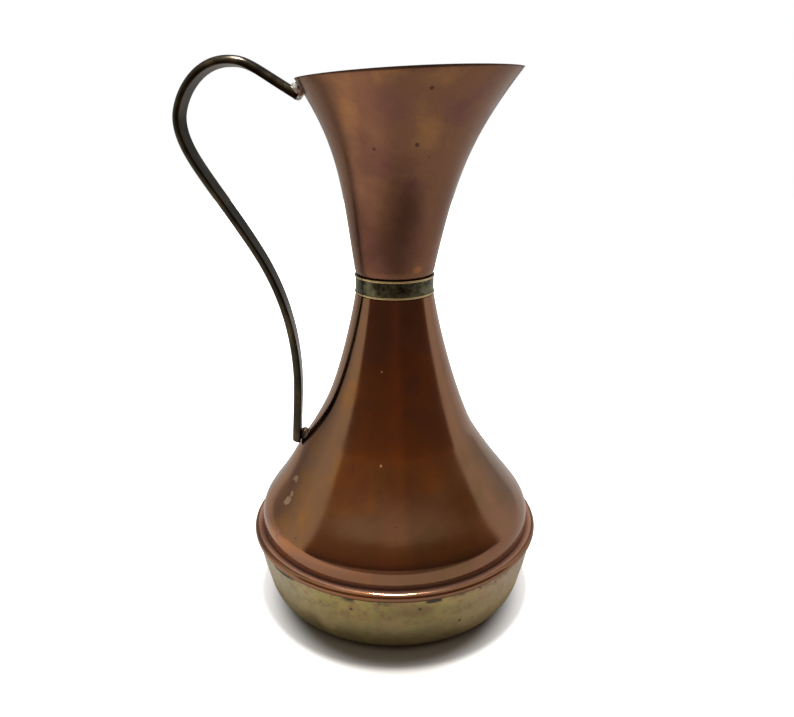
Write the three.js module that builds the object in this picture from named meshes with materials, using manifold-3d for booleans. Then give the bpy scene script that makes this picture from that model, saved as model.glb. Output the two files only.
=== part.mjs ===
// A copper water jug: a spun trumpet and a spun bell meet at a narrow waist under a brass collar,
// the bell's rolled hem grips a brass bowl, and a half-round brass bar is the handle.
// Millimetres, +Z up. The origin is on the jug's axis where the bowl rests on the floor.
// The pouring side is +X and the handle is on the -X side.
import * as THREE from "three";
import { mergeVertices } from "three/addons/utils/BufferGeometryUtils.js";
import Module from "manifold-3d";

// Sheet metal and clearances
const COPPER_SHEET = 1.0;
const BRASS_SHEET = 1.0;
const COLLAR_SHEET = 0.6;
const GAP = 0.3;                    // between pieces that touch on the real jug

// Trumpet: from the lip down to the tail that is soldered inside the waist
const LIP_HEIGHT = 280.3;           // front of the mouth above the floor
const LIP_RADIUS = 54.8;
const LIP_SHIFT = 7.0;              // how far the mouth's middle stands toward the pouring side
const LIP_RISE = 0.0484;            // rise of the mouth's plane per mm toward the pouring side
const LIP_DIP = 0.95;               // how far the lip dips at the handle and at the pouring side
const LEAN_POWER = 1.4;             // how late up the flare the lean sets in
const TRUMPET_FOOT_OUT = 0.6;       // foot of the flare outside the bell's neck
const TRUMPET_FOOT_HEIGHT = 5;      // height of the turned-in foot above the collar
const TAIL_LENGTH = 16;             // how far the trumpet's tail reaches down into the bell

// Waist: the bell's neck goes up inside the brass collar, and the trumpet's tail goes down inside it
const WAIST_HEIGHT = 172.2;         // lower edge of the collar
const COLLAR_HEIGHT = 9.8;
const NECK_RADIUS = 20.6;           // bell just under the collar
const COLLAR_BEAD = 0.45;           // how far the collar's edge beads stand out
const COLLAR_BEAD_HEIGHT = 1.3;

// Bell: neck, shoulder, wall and rolled hem
const SHOULDER_RADIUS = 75.4;
const SHOULDER_HEIGHT = 46;
const HEM_HEIGHT = 38.5;            // middle of the rolled hem
const HEM_BEAD_RADIUS = 2.6;
const HEM_OUT = 2.4;                // hem's middle outside the bell's wall
const HEM_CURL_END = -50;           // degrees, where the curl stops against the bowl

// Bowl: brass, spun, with a flat floor
const BOWL_EDGE_RADIUS = 0.5;       // bowl's outer edge outside the hem's middle
const BOWL_EDGE_GAP = 0.45;         // between the bowl's edge and the roof of the hem
const BOWL_FLOOR_RADIUS = 63;
const BOWL_TURN_RADIUS = 73.5;      // where the side starts to turn under
const BOWL_TURN_HEIGHT = 11;

// Handle: one half-round bar, its flat side toward the jug
const BAR_WIDTH = 9.5;
const BAR_THICKNESS = 4.75;
const HANDLE_REACH = 103.4;         // flat side of the loop from the jug's axis
const HANDLE_RISE = 2.4;            // flat side of the loop above the front of the mouth
const LOOP_RADIUS = 24.6;
const HANDLE_FOOT_HEIGHT = 86.5;
const HANDLE_END_DROP = 9.0;        // bar's upper end below the front of the mouth
const HANDLE_END_SLOPE = 30.7;      // degrees
const HANDLE_END_GAP = 0.6;         // between the bar's end and the trumpet, filled with solder

// The shoulder is drawn out a little where the handle's foot pulls on it
const SWELL = 3.3;
const SWELL_HEIGHT = 90;
const SWELL_TALL = 18;
const SWELL_WIDE = 0.5;             // radians round the jug

// Solder
const TOP_SOLDER = { out: 4.6, wide: 4.2, tall: 5.0 };
const FOOT_SOLDER = { wide: 8.4, tall: 7.5, out: 4.6 };
const WAIST_SOLDER_HEIGHT = 4;
const SEAM_SOLDER_HEIGHT = 3;

// Facets
const AROUND = 48;                  // columns round the axis
const LONG_STEPS = 7;               // steps in a long curve of an outline
const SHORT_STEPS = 4;              // steps in a short one, and half the steps of the curl
const BAR_STEPS = 40;
const BAR_ARC_STEPS = 8;

const wasm = await Module();
wasm.setup();

const COPPER = { color: 0x7a4a33, roughness: 0.32, metalness: 1 };
const COPPER_DARK = { color: 0x704632, roughness: 0.32, metalness: 1 };
const BRASS = { color: 0x8b7b4c, roughness: 0.42, metalness: 1 };
const BRASS_DARK = { color: 0x5c5440, roughness: 0.38, metalness: 1 };
const SOLDER = { color: 0x9b9a94, roughness: 0.45, metalness: 1 };

function mix(a, b, share) {
  return a + (b - a) * share;
}

function node(name, geometry, finish) {
  const mesh = new THREE.Mesh(geometry, new THREE.MeshStandardMaterial(finish));
  mesh.name = name;
  return mesh;
}

// Points of an outline moved sideways by a distance: to the right of the way that it runs
function offset(points, distance) {
  return points.map((point, i) => {
    const before = points[Math.max(i - 1, 0)];
    const after = points[Math.min(i + 1, points.length - 1)];
    const first = i > 0 ? point.clone().sub(before).normalize() : after.clone().sub(point).normalize();
    const second = i < points.length - 1 ? after.clone().sub(point).normalize() : first;
    const along = first.clone().add(second).normalize();
    const stretch = distance / Math.max(along.dot(first), 0.5);
    return new THREE.Vector2(point.x + along.y * stretch, point.y - along.x * stretch);
  });
}

// A closed section: the visible outline, then back along the other face of the sheet
function sheetSection(outline, thickness) {
  const back = offset(outline, thickness).reverse();
  return [...outline, ...back, outline[0].clone()];
}

// A section in (radius, height), turned round +Z
function spin(section) {
  const points = section.map((point) => new THREE.Vector2(Math.max(point.x, 0), point.y));
  const area = points.reduce((sum, point, i) => {
    const next = points[(i + 1) % points.length];
    return sum + point.x * next.y - next.x * point.y;
  }, 0);
  const ordered = area > 0 ? points : points.reverse();
  const geometry = new THREE.LatheGeometry(ordered, AROUND);
  geometry.rotateX(Math.PI / 2);
  return geometry;
}

function movePoints(geometry, move) {
  const positions = geometry.attributes.position;
  const point = new THREE.Vector3();
  for (let i = 0; i < positions.count; i += 1) {
    point.fromBufferAttribute(positions, i);
    move(point);
    positions.setXYZ(i, point.x, point.y, point.z);
  }
  return geometry;
}

// The horizontal distance of an outline from the axis at one height
function radiusAt(outline, height) {
  for (let i = 1; i < outline.length; i += 1) {
    const a = outline[i - 1];
    const b = outline[i];
    if ((a.y - height) * (b.y - height) <= 0 && a.y !== b.y) {
      return mix(a.x, b.x, (height - a.y) / (b.y - a.y));
    }
  }
  throw new Error("the outline does not pass this height");
}

function solidOf(geometry) {
  const plain = geometry.clone();
  plain.deleteAttribute("normal");
  plain.deleteAttribute("uv");
  const merged = mergeVertices(plain, 1e-4);
  const mesh = new wasm.Mesh({
    numProp: 3,
    vertProperties: new Float32Array(merged.attributes.position.array),
    triVerts: new Uint32Array(merged.index.array),
  });
  return new wasm.Manifold(mesh);
}

function geometryOf(solid) {
  const mesh = solid.getMesh();
  const geometry = new THREE.BufferGeometry();
  geometry.setAttribute("position", new THREE.BufferAttribute(mesh.vertProperties, 3));
  geometry.setIndex(new THREE.BufferAttribute(mesh.triVerts, 1));
  geometry.computeVertexNormals();
  return geometry;
}

// Heights and radii that several pieces share
const COLLAR_TOP = WAIST_HEIGHT + COLLAR_HEIGHT;
const COLLAR_INNER = NECK_RADIUS - 0.7;
const NECK_OUTER = COLLAR_INNER - GAP;
const TAIL_RADIUS = NECK_OUTER - COPPER_SHEET - GAP;
const HEM_RADIUS = SHOULDER_RADIUS + HEM_OUT;
const TRUMPET_FOOT_RADIUS = NECK_RADIUS + TRUMPET_FOOT_OUT;

// Trumpet -----------------------------------------------------------------------------------

// The visible side from the lip down to the end of the tail
function trumpetOutline() {
  const foot = COLLAR_TOP + TRUMPET_FOOT_HEIGHT;
  const ledge = COLLAR_TOP + GAP;
  const across = (share) => mix(TRUMPET_FOOT_RADIUS, LIP_RADIUS, share);
  const up = (share) => mix(foot, LIP_HEIGHT, share);
  const flare = new THREE.Path();
  flare.moveTo(LIP_RADIUS, LIP_HEIGHT);
  flare.bezierCurveTo(across(0.345), up(0.654), across(0.237), up(0.476), TRUMPET_FOOT_RADIUS, foot);
  const turn = new THREE.Path();
  turn.moveTo(TRUMPET_FOOT_RADIUS, foot);
  turn.quadraticCurveTo(TRUMPET_FOOT_RADIUS - 0.7, ledge, TRUMPET_FOOT_RADIUS - 1.7, ledge);
  const tail = [
    new THREE.Vector2(TAIL_RADIUS + 0.2, ledge),
    new THREE.Vector2(TAIL_RADIUS, ledge - 0.2),
    new THREE.Vector2(TAIL_RADIUS, COLLAR_TOP - TAIL_LENGTH),
  ];
  const flarePoints = flare.getPoints(LONG_STEPS + SHORT_STEPS);
  const turnPoints = turn.getPoints(SHORT_STEPS).slice(1);
  return [...flarePoints, ...turnPoints, ...tail];
}

// The trumpet leans toward the pouring side, and its mouth is cut a little aslant
function lean(point) {
  const rise = Math.max((point.z - COLLAR_TOP) / (LIP_HEIGHT - COLLAR_TOP), 0);
  const share = rise ** LEAN_POWER;
  const dip = LIP_DIP * (point.x / LIP_RADIUS) ** 2;
  point.z += share * (LIP_RISE * point.x - dip);
  point.x += LIP_SHIFT * share;
}

function trumpetNeck() {
  return movePoints(spin(sheetSection(trumpetOutline(), COPPER_SHEET)), lean);
}

// Everything inside the trumpet's outer skin grown by a gap, to cut what rests on it
function trumpetBulk(gap) {
  const skin = offset(trumpetOutline(), -gap);
  const above = new THREE.Vector2(skin[0].x, LIP_HEIGHT + 4);
  const last = skin[skin.length - 1];
  const section = [new THREE.Vector2(0, above.y), above, ...skin, new THREE.Vector2(0, last.y)];
  return solidOf(movePoints(spin(section), lean));
}

// Where the trumpet's skin stands on the handle's side at one height
function trumpetHandleSide(height) {
  const side = trumpetOutline().map((point) => {
    const place = new THREE.Vector3(-point.x, 0, point.y);
    lean(place);
    return new THREE.Vector2(place.x, place.z);
  });
  return radiusAt(side, height);
}

// Bell --------------------------------------------------------------------------------------

// The visible side from the top of the neck, inside the collar, to the end of the hem's curl
function bellOutline() {
  const across = (share) => mix(NECK_RADIUS, SHOULDER_RADIUS, share);
  const up = (share) => mix(SHOULDER_HEIGHT, WAIST_HEIGHT, share);
  const neck = [
    new THREE.Vector2(NECK_OUTER, COLLAR_TOP),
    new THREE.Vector2(NECK_OUTER, WAIST_HEIGHT - GAP),
    new THREE.Vector2(NECK_RADIUS - 0.3, WAIST_HEIGHT - GAP - 0.1),
  ];
  const throat = new THREE.Path();
  throat.moveTo(NECK_RADIUS, WAIST_HEIGHT - GAP - 0.4);
  throat.bezierCurveTo(across(0.123), up(0.696), across(0.363), up(0.432), across(0.435), up(0.384));
  const shoulder = new THREE.Path();
  shoulder.moveTo(across(0.435), up(0.384));
  shoulder.bezierCurveTo(across(0.815), up(0.12), SHOULDER_RADIUS, up(0.089), SHOULDER_RADIUS, SHOULDER_HEIGHT);
  const start = THREE.MathUtils.degToRad(110);
  const end = THREE.MathUtils.degToRad(HEM_CURL_END);
  const groove = new THREE.Path();
  groove.moveTo(SHOULDER_RADIUS, HEM_HEIGHT + HEM_BEAD_RADIUS + 0.3);
  groove.quadraticCurveTo(
    SHOULDER_RADIUS + 0.1,
    HEM_HEIGHT + HEM_BEAD_RADIUS - 0.8,
    HEM_RADIUS + HEM_BEAD_RADIUS * Math.cos(start),
    HEM_HEIGHT + HEM_BEAD_RADIUS * Math.sin(start),
  );
  const curl = new THREE.Path();
  curl.absarc(HEM_RADIUS, HEM_HEIGHT, HEM_BEAD_RADIUS, start, end, true);
  return [
    ...neck,
    ...throat.getPoints(LONG_STEPS),
    ...shoulder.getPoints(LONG_STEPS).slice(1),
    ...groove.getPoints(2),
    ...curl.getPoints(SHORT_STEPS).slice(1),
  ];
}

// The shoulder drawn outward round the handle's foot
function swell(point) {
  const radius = Math.hypot(point.x, point.y);
  const turn = Math.atan2(point.y, -point.x) / SWELL_WIDE;
  const up = (point.z - SWELL_HEIGHT) / SWELL_TALL;
  const grown = radius + SWELL * Math.exp(-turn * turn - up * up);
  const scale = radius > 0 ? grown / radius : 1;
  point.x *= scale;
  point.y *= scale;
}

function bellBody() {
  return movePoints(spin(sheetSection(bellOutline(), COPPER_SHEET)), swell);
}

function bellBulk(gap) {
  const skin = offset(bellOutline(), -gap).filter((point) => point.y > SHOULDER_HEIGHT);
  const last = skin[skin.length - 1];
  const section = [new THREE.Vector2(0, skin[0].y), ...skin, new THREE.Vector2(0, last.y)];
  return solidOf(movePoints(spin(section), swell));
}

function bellHandleSide(height) {
  const place = new THREE.Vector3(-radiusAt(bellOutline(), height), 0, height);
  swell(place);
  return place.x;
}

// Bowl --------------------------------------------------------------------------------------

// From the middle of the floor out and up to the edge inside the hem
function bowlOutline() {
  const edge = HEM_RADIUS + BOWL_EDGE_RADIUS;
  const inside = HEM_BEAD_RADIUS - COPPER_SHEET;
  const roof = HEM_HEIGHT + Math.sqrt(inside ** 2 - BOWL_EDGE_RADIUS ** 2);
  const under = HEM_HEIGHT - HEM_BEAD_RADIUS;
  const turn = new THREE.Path();
  turn.moveTo(BOWL_FLOOR_RADIUS, 0);
  turn.bezierCurveTo(
    mix(BOWL_FLOOR_RADIUS, BOWL_TURN_RADIUS, 0.54),
    0,
    mix(BOWL_FLOOR_RADIUS, BOWL_TURN_RADIUS, 0.83),
    BOWL_TURN_HEIGHT * 0.35,
    BOWL_TURN_RADIUS,
    BOWL_TURN_HEIGHT,
  );
  const side = new THREE.Path();
  side.moveTo(BOWL_TURN_RADIUS, BOWL_TURN_HEIGHT);
  side.bezierCurveTo(
    mix(BOWL_TURN_RADIUS, edge, 0.43),
    mix(BOWL_TURN_HEIGHT, under, 0.37),
    edge,
    mix(BOWL_TURN_HEIGHT, under, 0.7),
    edge,
    under,
  );
  return [
    new THREE.Vector2(0, 0),
    ...turn.getPoints(SHORT_STEPS),
    ...side.getPoints(SHORT_STEPS).slice(1),
    new THREE.Vector2(edge, roof - BOWL_EDGE_GAP),
  ];
}

function baseBowl() {
  return spin(sheetSection(bowlOutline(), -BRASS_SHEET));
}

// Collar ------------------------------------------------------------------------------------

// A band with a small bead along each edge, open like a ring
function waistCollar() {
  const face = COLLAR_INNER + COLLAR_SHEET;
  const crown = face + COLLAR_BEAD;
  const low = WAIST_HEIGHT;
  const high = COLLAR_TOP;
  const bead = COLLAR_BEAD_HEIGHT;
  const section = [
    [COLLAR_INNER, low],
    [face + COLLAR_BEAD * 0.5, low],
    [crown, low + bead * 0.35],
    [crown, low + bead * 0.65],
    [face, low + bead],
    [face, high - bead],
    [crown, high - bead * 0.65],
    [crown, high - bead * 0.35],
    [face + COLLAR_BEAD * 0.5, high],
    [COLLAR_INNER, high],
    [COLLAR_INNER, low],
  ];
  return spin(section.map(([radius, height]) => new THREE.Vector2(radius, height)));
}

// Handle ------------------------------------------------------------------------------------

// The middle of the bar's flat side, from its upper end over the loop to the foot
function handlePath() {
  const slope = THREE.MathUtils.degToRad(HANDLE_END_SLOPE);
  const along = new THREE.Vector3(-Math.cos(slope), 0, Math.sin(slope));
  const corner = LIP_HEIGHT - HANDLE_END_DROP;
  const end = new THREE.Vector3(
    trumpetHandleSide(corner) - HANDLE_END_GAP - BAR_THICKNESS * Math.sin(slope),
    0,
    corner - BAR_THICKNESS * Math.cos(slope),
  );
  const at = (x, z) => new THREE.Vector3(x, 0, z);
  const top = at(LOOP_RADIUS - HANDLE_REACH, LIP_HEIGHT + HANDLE_RISE);
  const side = at(-HANDLE_REACH, top.z - LOOP_RADIUS);
  const foot = at(bellHandleSide(HANDLE_FOOT_HEIGHT) - GAP, HANDLE_FOOT_HEIGHT);
  const drop = top.z - foot.z;
  const middle = at(mix(foot.x, side.x, 0.44), mix(foot.z, top.z, 0.6));
  const slant = at(0.527, -0.85);
  const low = at(foot.x + 2.1, mix(foot.z, top.z, 0.186));
  const path = new THREE.CurvePath();
  path.add(new THREE.CubicBezierCurve3(
    end,
    end.clone().addScaledVector(along, 26),
    at(top.x + 8.4, top.z),
    top,
  ));
  path.add(new THREE.CubicBezierCurve3(
    top,
    at(top.x - 0.63 * LOOP_RADIUS, top.z),
    at(side.x, side.z + 0.33 * LOOP_RADIUS),
    side,
  ));
  path.add(new THREE.CubicBezierCurve3(
    side,
    at(side.x, side.z - 0.067 * drop),
    middle.clone().addScaledVector(slant, -0.172 * drop),
    middle,
  ));
  path.add(new THREE.CubicBezierCurve3(
    middle,
    middle.clone().addScaledVector(slant, 0.071 * drop),
    at(low.x, low.z + 0.224 * drop),
    low,
  ));
  path.add(new THREE.CubicBezierCurve3(
    low,
    at(low.x, low.z - 0.043 * drop),
    at(foot.x + 0.4, foot.z + 0.041 * drop),
    foot,
  ));
  return path;
}

// Half-round section: the flat side on the path, the round side away from the jug
function barSection(grow) {
  const shape = new THREE.Shape();
  shape.moveTo(BAR_WIDTH / 2 + grow, -grow);
  for (let i = 0; i <= BAR_ARC_STEPS; i += 1) {
    const turn = (Math.PI * i) / BAR_ARC_STEPS;
    shape.lineTo((BAR_WIDTH / 2 + grow) * Math.cos(turn), (BAR_THICKNESS + grow) * Math.sin(turn));
  }
  shape.lineTo(-BAR_WIDTH / 2 - grow, -grow);
  return shape;
}

function bar(grow) {
  const path = handlePath();
  if (grow > 0) {
    const curves = path.curves;
    const first = curves[0];
    const last = curves[curves.length - 1];
    first.v0.addScaledVector(first.getTangent(0), -grow);
    last.v3.addScaledVector(last.getTangent(1), grow);
  }
  const options = { steps: BAR_STEPS, extrudePath: path, curveSegments: BAR_ARC_STEPS };
  return new THREE.ExtrudeGeometry(barSection(grow), options);
}

// Solder ------------------------------------------------------------------------------------

// The blob that joins the bar's upper end to the trumpet just under the lip
function handleTopSolder() {
  const end = handlePath().getPoint(0);
  const skin = trumpetHandleSide(end.z + BAR_THICKNESS);
  const blob = new THREE.SphereGeometry(1, 14, 9);
  blob.scale(TOP_SOLDER.out, TOP_SOLDER.wide, TOP_SOLDER.tall);
  blob.translate(mix(end.x, skin, 0.7), 0, end.z + BAR_THICKNESS * 0.7);
  return geometryOf(solidOf(blob).subtract(trumpetBulk(GAP)).subtract(solidOf(bar(GAP))));
}

// The web of solder in the notch between the bar's foot and the shoulder
function handleFootSolder() {
  const foot = handlePath().getPoint(1);
  const web = new THREE.Shape();
  web.moveTo(foot.x + GAP, foot.z - 2);
  web.lineTo(foot.x + GAP, foot.z + FOOT_SOLDER.tall + 1.5);
  web.quadraticCurveTo(
    foot.x + GAP + 1,
    foot.z + FOOT_SOLDER.tall - 2,
    foot.x + GAP + FOOT_SOLDER.out,
    foot.z + FOOT_SOLDER.tall + 0.5,
  );
  web.lineTo(foot.x + GAP + FOOT_SOLDER.out + 6, foot.z + FOOT_SOLDER.tall);
  web.lineTo(foot.x + GAP + FOOT_SOLDER.out + 6, foot.z - 2);
  const options = { depth: FOOT_SOLDER.wide, bevelEnabled: false, curveSegments: SHORT_STEPS };
  const block = new THREE.ExtrudeGeometry(web, options);
  block.rotateX(Math.PI / 2);
  block.translate(0, FOOT_SOLDER.wide / 2, 0);
  return geometryOf(solidOf(block).subtract(bellBulk(GAP)).subtract(solidOf(bar(GAP))));
}

// The fillet inside the waist, between the trumpet's tail and the bell's neck
function waistSolder() {
  const inner = TAIL_RADIUS + GAP;
  const low = COLLAR_TOP - TAIL_LENGTH;
  const high = low + WAIST_SOLDER_HEIGHT;
  const wall = (height) => radiusAt(offset(bellOutline(), COPPER_SHEET), height) - GAP;
  const section = [
    [inner, low],
    [mix(inner, wall(low), 0.5), low + 0.5],
    [wall(low), low + 0.2],
    [wall(high), high],
    [inner, high],
    [inner, low],
  ];
  return spin(section.map(([radius, height]) => new THREE.Vector2(radius, height)));
}

// The fillet inside the jug that seals the bell's wall to the bowl
function seamSolder() {
  const bowl = HEM_RADIUS + BOWL_EDGE_RADIUS - BRASS_SHEET - GAP;
  const high = HEM_HEIGHT + HEM_BEAD_RADIUS - 2.6;
  const low = high - SEAM_SOLDER_HEIGHT;
  const section = [
    [bowl, low],
    [bowl, high],
    [bowl - 1.6, high],
    [bowl - 1.0, mix(low, high, 0.35)],
    [bowl, low],
  ];
  return spin(section.map(([radius, height]) => new THREE.Vector2(radius, height)));
}

const jug = new THREE.Group();
jug.add(node("trumpet_neck", trumpetNeck(), COPPER));
jug.add(node("bell_body", bellBody(), COPPER_DARK));
jug.add(node("base_bowl", baseBowl(), BRASS));
jug.add(node("waist_collar", waistCollar(), BRASS_DARK));
jug.add(node("handle", bar(0), BRASS_DARK));
jug.add(node("handle_top_solder", handleTopSolder(), SOLDER));
jug.add(node("handle_foot_solder", handleFootSolder(), SOLDER));
jug.add(node("waist_solder", waistSolder(), SOLDER));
jug.add(node("seam_solder", seamSolder(), SOLDER));

export default jug;
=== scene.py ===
# %% [markdown]
# # A copper and brass water jug
#
# This lesson builds a tall pouring jug from nine pieces. A spinner pressed the trumpet neck and
# the bell from copper sheet, and the bowl and the narrow collar from brass sheet. A smith bent the
# handle from half-round brass bar. Soft solder holds the pieces together.
#
# The imported model gives every size. We load it first.

# %% Load the measured model
import math

import bpy
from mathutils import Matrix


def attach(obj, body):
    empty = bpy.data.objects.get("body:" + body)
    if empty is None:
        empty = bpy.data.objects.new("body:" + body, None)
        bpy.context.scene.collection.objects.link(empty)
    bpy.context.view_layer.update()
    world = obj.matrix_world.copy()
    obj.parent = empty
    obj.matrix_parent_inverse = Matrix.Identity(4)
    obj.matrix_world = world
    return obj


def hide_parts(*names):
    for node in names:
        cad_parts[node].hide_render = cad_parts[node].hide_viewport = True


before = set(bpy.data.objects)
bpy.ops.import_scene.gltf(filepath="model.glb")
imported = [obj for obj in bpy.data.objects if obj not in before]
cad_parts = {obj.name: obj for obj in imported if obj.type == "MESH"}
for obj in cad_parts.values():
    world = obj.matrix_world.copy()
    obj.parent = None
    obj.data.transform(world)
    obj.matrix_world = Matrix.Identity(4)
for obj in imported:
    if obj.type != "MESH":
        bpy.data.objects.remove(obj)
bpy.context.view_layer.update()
print("pieces in the model:", sorted(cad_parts))

MM = 0.001
BODY = "root"


# %% [markdown]
# ## Where we stand
#
# The jug stands on a table just in front of us, and we look down on it a little. A short lens this
# close makes the lip look wide and the bowl small. The camera comes first, because it decides which
# details are worth making.

# %% Camera
EYE = (0.0, -377.9, 265.7)
LOOK_DOWN_DEGREES = 19.137
TURN_DEGREES = -0.19
LENS_MM = 33.37

bpy.ops.object.select_all(action="DESELECT")
bpy.ops.object.camera_add(
    location=[v * MM for v in EYE],
    rotation=(math.radians(90 - LOOK_DOWN_DEGREES), 0, math.radians(TURN_DEGREES)),
)
camera = bpy.context.object
camera.name = "camera"
camera.data.lens = LENS_MM
camera.data.sensor_width = 36
camera.data.clip_start = 0.01
bpy.context.scene.camera = camera
print("camera looks down by", LOOK_DOWN_DEGREES, "degrees")

# %% [markdown]
# ## The table and the room
#
# Polished metal shows the room more than itself, so the room is part of the finish. Pale walls
# stand to the left, to the right and behind. In front is the dim room where the viewer stands, and
# it makes the dark panel down the middle of the bell. The table is one flat sheet of white paper.

# %% Table
TABLE_WIDE = 3000
TABLE_FRONT = -340
TABLE_BACK = 1800

bpy.ops.object.select_all(action="DESELECT")
bpy.ops.mesh.primitive_plane_add(
    size=1,
    location=(0, (TABLE_FRONT + TABLE_BACK) / 2 * MM, 0),
)
table = bpy.context.object
table.name = "table"
table.scale = (TABLE_WIDE * MM, (TABLE_BACK - TABLE_FRONT) * MM, 1)
bpy.ops.object.transform_apply(location=True, rotation=True, scale=True)
print("table is", TABLE_WIDE, "mm wide")

# %% [markdown]
# ## Tools for node trees
#
# The room and every finish are made of shader nodes. These short helpers add one node each and hand
# back the socket that the next node reads, so a finish reads from top to bottom like a recipe.

# %% Node helpers
def new_node(tree, kind, **settings):
    made = tree.nodes.new(kind)
    for name, value in settings.items():
        setattr(made, name, value)
    return made


def feed(tree, socket, value):
    if isinstance(value, bpy.types.NodeSocket):
        tree.links.new(value, socket)
    elif isinstance(value, tuple) and len(value) == 3 and socket.type == "RGBA":
        socket.default_value = (*value, 1)
    else:
        socket.default_value = value


def calculate(tree, operation, first, second=0.0):
    made = new_node(tree, "ShaderNodeMath", operation=operation)
    feed(tree, made.inputs[0], first)
    feed(tree, made.inputs[1], second)
    return made.outputs[0]


def stretch(tree, value, low, high, to_low=0.0, to_high=1.0, smooth=True):
    made = new_node(tree, "ShaderNodeMapRange")
    made.interpolation_type = "SMOOTHSTEP" if smooth else "LINEAR"
    feed(tree, made.inputs["Value"], value)
    for name, number in zip(("From Min", "From Max", "To Min", "To Max"), (low, high, to_low, to_high)):
        feed(tree, made.inputs[name], number)
    return made.outputs[0]


def mix_colour(tree, share, first, second, how="MIX"):
    made = new_node(tree, "ShaderNodeMix", data_type="RGBA", blend_type=how)
    feed(tree, made.inputs[0], share)
    feed(tree, made.inputs[6], first)
    feed(tree, made.inputs[7], second)
    return made.outputs[2]


print("node helpers are ready")

# %% [markdown]
# A few more helpers read places on the piece. Sizes on the jug are in mm while Blender counts in
# metres, so fade takes mm. A ramp turns one number into a colour by a short list of stops.

# %% Place helpers
def scaled(tree, value, amount):
    return calculate(tree, "MULTIPLY", value, amount)


def fade(tree, value, low, high, to_low=0.0, to_high=1.0):
    return stretch(tree, value, low * MM, high * MM, to_low, to_high)


def axes(tree, where):
    made = new_node(tree, "ShaderNodeSeparateXYZ")
    feed(tree, made.inputs[0], where)
    return made.outputs


def length_of(tree, vector):
    made = new_node(tree, "ShaderNodeVectorMath", operation="LENGTH")
    feed(tree, made.inputs[0], vector)
    return made.outputs["Value"]


def ramp(tree, value, stops):
    made = new_node(tree, "ShaderNodeValToRGB")
    points = made.color_ramp.elements
    while len(points) < len(stops):
        points.new(0.5)
    for point, (place, colour) in zip(points, stops):
        point.position = place
        point.color = (*colour, 1) if isinstance(colour, tuple) else (colour, colour, colour, 1)
    feed(tree, made.inputs[0], value)
    return made.outputs[0]


print("place helpers are ready")

# %% [markdown]
# The table is pale paper, lit so strongly that it looks pure white to us. In the polished metal that
# much light would drown every colour, so the metal is shown a calmer paper with painted light on it:
# brightest on the left, as if a window lit it, and dimmer behind. The paper also glows a little by
# itself, a painted light that keeps the cast shadow faint. Only a patch under the front of the bowl
# has no glow and a darker tone, and that painted shade makes the deep contact shadow.

# %% Table paint
PAPER = (0.52, 0.51, 0.50)
PAPER_GLOW = 0.66
PAINTED_CONTACT_SHADOW = (0.22, 0.195, 0.165)
PATCH_FORWARD = 10
PATCH_SQUEEZE = 1.15
PATCH_DARK_TO = 66
PATCH_GONE_AT = 88
METAL_SEES_LEFT = (0.30, 0.28, 0.26)
METAL_SEES_BEHIND = (0.16, 0.15, 0.135)
METAL_SEES_RIGHT = (0.185, 0.18, 0.175)

table_paint = bpy.data.materials.new("white_table")
table_paint.use_nodes = True
paint = table_paint.node_tree
table_shader = paint.nodes["Principled BSDF"]
table_shader.inputs["Roughness"].default_value = 0.9
table_shader.inputs["Specular IOR Level"].default_value = 0.1
table_shader.inputs["Emission Color"].default_value = (1, 1, 1, 1)
spot = new_node(paint, "ShaderNodeTexCoord").outputs["Object"]
looked_at = new_node(paint, "ShaderNodeLightPath").outputs["Is Camera Ray"]

# painted light: the paper seen in the metal is brighter on the left, as if a window lit it
to_right = fade(paint, axes(paint, spot)["X"], -220, -20)
to_back = fade(paint, axes(paint, spot)["Y"], -20, 120)
left_side = mix_colour(paint, to_back, METAL_SEES_LEFT, METAL_SEES_BEHIND)
in_metal = mix_colour(paint, to_right, left_side, METAL_SEES_RIGHT)

# painted contact shadow: a darker patch of paper under the front of the bowl
squeezed = new_node(paint, "ShaderNodeMapping")
squeezed.inputs["Location"].default_value = (0, PATCH_FORWARD * MM, 0)
squeezed.inputs["Scale"].default_value = (PATCH_SQUEEZE, 1, 1)
feed(paint, squeezed.inputs["Vector"], spot)
clear = fade(paint, length_of(paint, squeezed.outputs[0]), PATCH_DARK_TO, PATCH_GONE_AT)
paper = mix_colour(paint, clear, PAINTED_CONTACT_SHADOW, PAPER)
feed(paint, table_shader.inputs["Base Color"], mix_colour(paint, looked_at, in_metal, paper))
# painted light: the paper glows for the camera outside the patch, which keeps the cast shadow faint
glow = scaled(paint, calculate(paint, "MULTIPLY", clear, looked_at), PAPER_GLOW)
feed(paint, table_shader.inputs["Emission Strength"], glow)
table.data.materials.append(table_paint)
print("table paint is ready")

# %% [markdown]
# ## The room
#
# The room is painted on the sky. The dim front changes its tone with height: a dark floor edge, then
# warm brown, then the pale start of the ceiling, which hangs lower towards the sides. It also
# changes a little with the compass. The walls change only with the compass, brightest beside the
# jug and dimmer behind it, so the jug's sides don't wash out against the white.

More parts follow.
